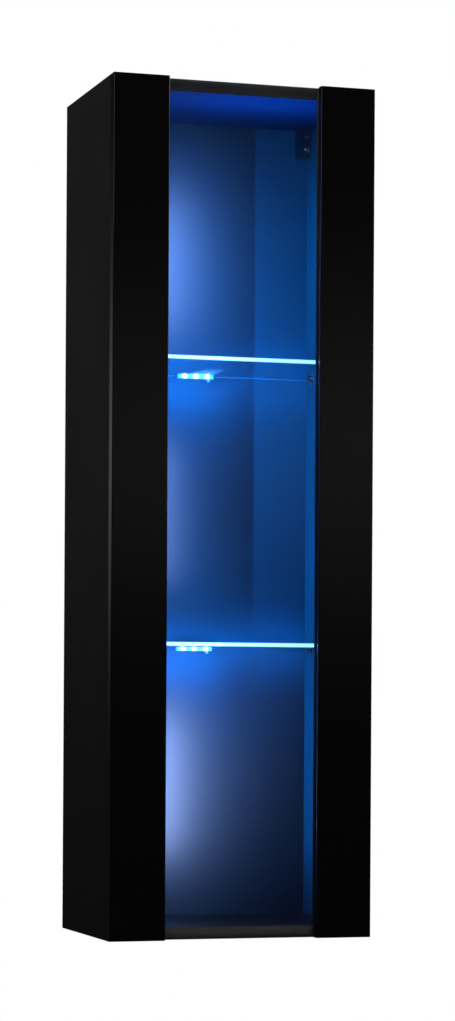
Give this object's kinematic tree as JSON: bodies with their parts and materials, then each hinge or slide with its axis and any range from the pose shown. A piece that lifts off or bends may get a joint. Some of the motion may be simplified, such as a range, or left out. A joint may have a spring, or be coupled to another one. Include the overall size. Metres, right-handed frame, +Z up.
{
  "type": "hanging wall cabinet",
  "caption": "Tall narrow wall-hung display cabinet with a glazed push-to-open door between wide gloss stiles and lit glass shelves.",
  "frame": {"origin": "on the wall plane, at the middle of the top board's rear edge, where the cabinet bears on the wall", "axes": "+Z up, +Y into the wall, so the door faces -Y, and +X to the right seen from the front"},
  "size_m": [0.4, 0.29, 1.26],
  "materials": {
    "board_black": "matt black laminated board",
    "back_black": "matt black hardboard",
    "gloss_black": "high-gloss black film on fibreboard",
    "door_pane": "clear toughened glass, polished edges",
    "shelf_pane": "clear toughened glass, edges lit by the clips",
    "steel": "nickel-plated steel",
    "zinc": "zinc die casting",
    "clip_plastic": "translucent moulded plastic",
    "lamp": "circuit board with light emitters",
    "grey_plastic": "grey moulded plastic",
    "soft_clear": "clear soft buffer"
  },
  "bodies": {
    "cabinet": {"side_panel_left": "board_black", "side_panel_right": "board_black", "top_panel": "board_black", "bottom_panel": "board_black", "back_panel": "back_black", "glass_shelf_upper": "shelf_pane", "glass_shelf_lower": "shelf_pane", "hinge_arm_upper": "steel", "hinge_arm_middle": "steel", "hinge_arm_lower": "steel", "hinge_plate_upper": "steel", "hinge_plate_middle": "steel", "hinge_plate_lower": "steel", "hinge_screw_upper": "steel", "hinge_screw_middle": "steel", "hinge_screw_lower": "steel", "hanger_height_screw_left": "steel", "hanger_height_screw_right": "steel", "hanger_depth_screw_left": "steel", "hanger_depth_screw_right": "steel", "shelf_support_upper_left_front": "steel", "shelf_support_upper_left_rear": "steel", "shelf_support_upper_right_front": "steel", "shelf_support_upper_right_rear": "steel", "shelf_support_lower_left_front": "steel", "shelf_support_lower_left_rear": "steel", "shelf_support_lower_right_front": "steel", "shelf_support_lower_right_rear": "steel", "hanger_body_left": "zinc", "hanger_body_right": "zinc", "cam_top_left_front": "zinc", "cam_top_left_rear": "zinc", "cam_top_right_front": "zinc", "cam_top_right_rear": "zinc", "cam_bottom_left_front": "zinc", "cam_bottom_left_rear": "zinc", "cam_bottom_right_front": "zinc", "cam_bottom_right_rear": "zinc", "led_clip_upper": "clip_plastic", "led_clip_lower": "clip_plastic", "led_strip_upper": "lamp", "led_strip_lower": "lamp", "push_latch_housing": "grey_plastic", "door_bumper_upper": "soft_clear", "door_bumper_lower": "soft_clear"},
    "door": {"door_strip_left": "gloss_black", "door_strip_right": "gloss_black", "door_glass": "door_pane", "strike_plate": "steel", "hinge_cup_upper": "steel", "hinge_cup_middle": "steel", "hinge_cup_lower": "steel"},
    "hinge_links": {"hinge_link_upper": "steel", "hinge_link_middle": "steel", "hinge_link_lower": "steel"},
    "latch_plunger": {"push_latch_plunger": "grey_plastic"},
    "hook_left": {"hanger_hook_left": "steel"},
    "hook_right": {"hanger_hook_right": "steel"}
  },
  "joints": [
    {"name": "door_swing", "type": "hinge", "parent": "cabinet", "child": "door", "pos_m": [0.19349, -0.284, -0.621], "axis": [0, 0, 1], "range_deg": [0, 105]},
    {"name": "link_turn", "type": "hinge", "parent": "cabinet", "child": "hinge_links", "pos_m": [0.17796, -0.27709, -0.621], "axis": [0, 0, 1], "range_deg": [0, 116]},
    {"name": "plunger_extend", "type": "slide", "parent": "cabinet", "child": "latch_plunger", "axis": [0, -1, 0], "range_m": [0, 0.0301]},
    {"name": "hook_lift_left", "type": "slide", "parent": "cabinet", "child": "hook_left", "axis": [0, 0, 1], "range_m": [-0.006, 0.006]},
    {"name": "hook_lift_right", "type": "slide", "parent": "cabinet", "child": "hook_right", "axis": [0, 0, 1], "range_m": [-0.006, 0.006]}
  ],
  "couplings": [
    {"joint": "link_turn", "follows": "door_swing", "ratio": 1.1},
    {"joint": "plunger_extend", "follows": "door_swing", "m_per_rad": 0.01637}
  ]
}
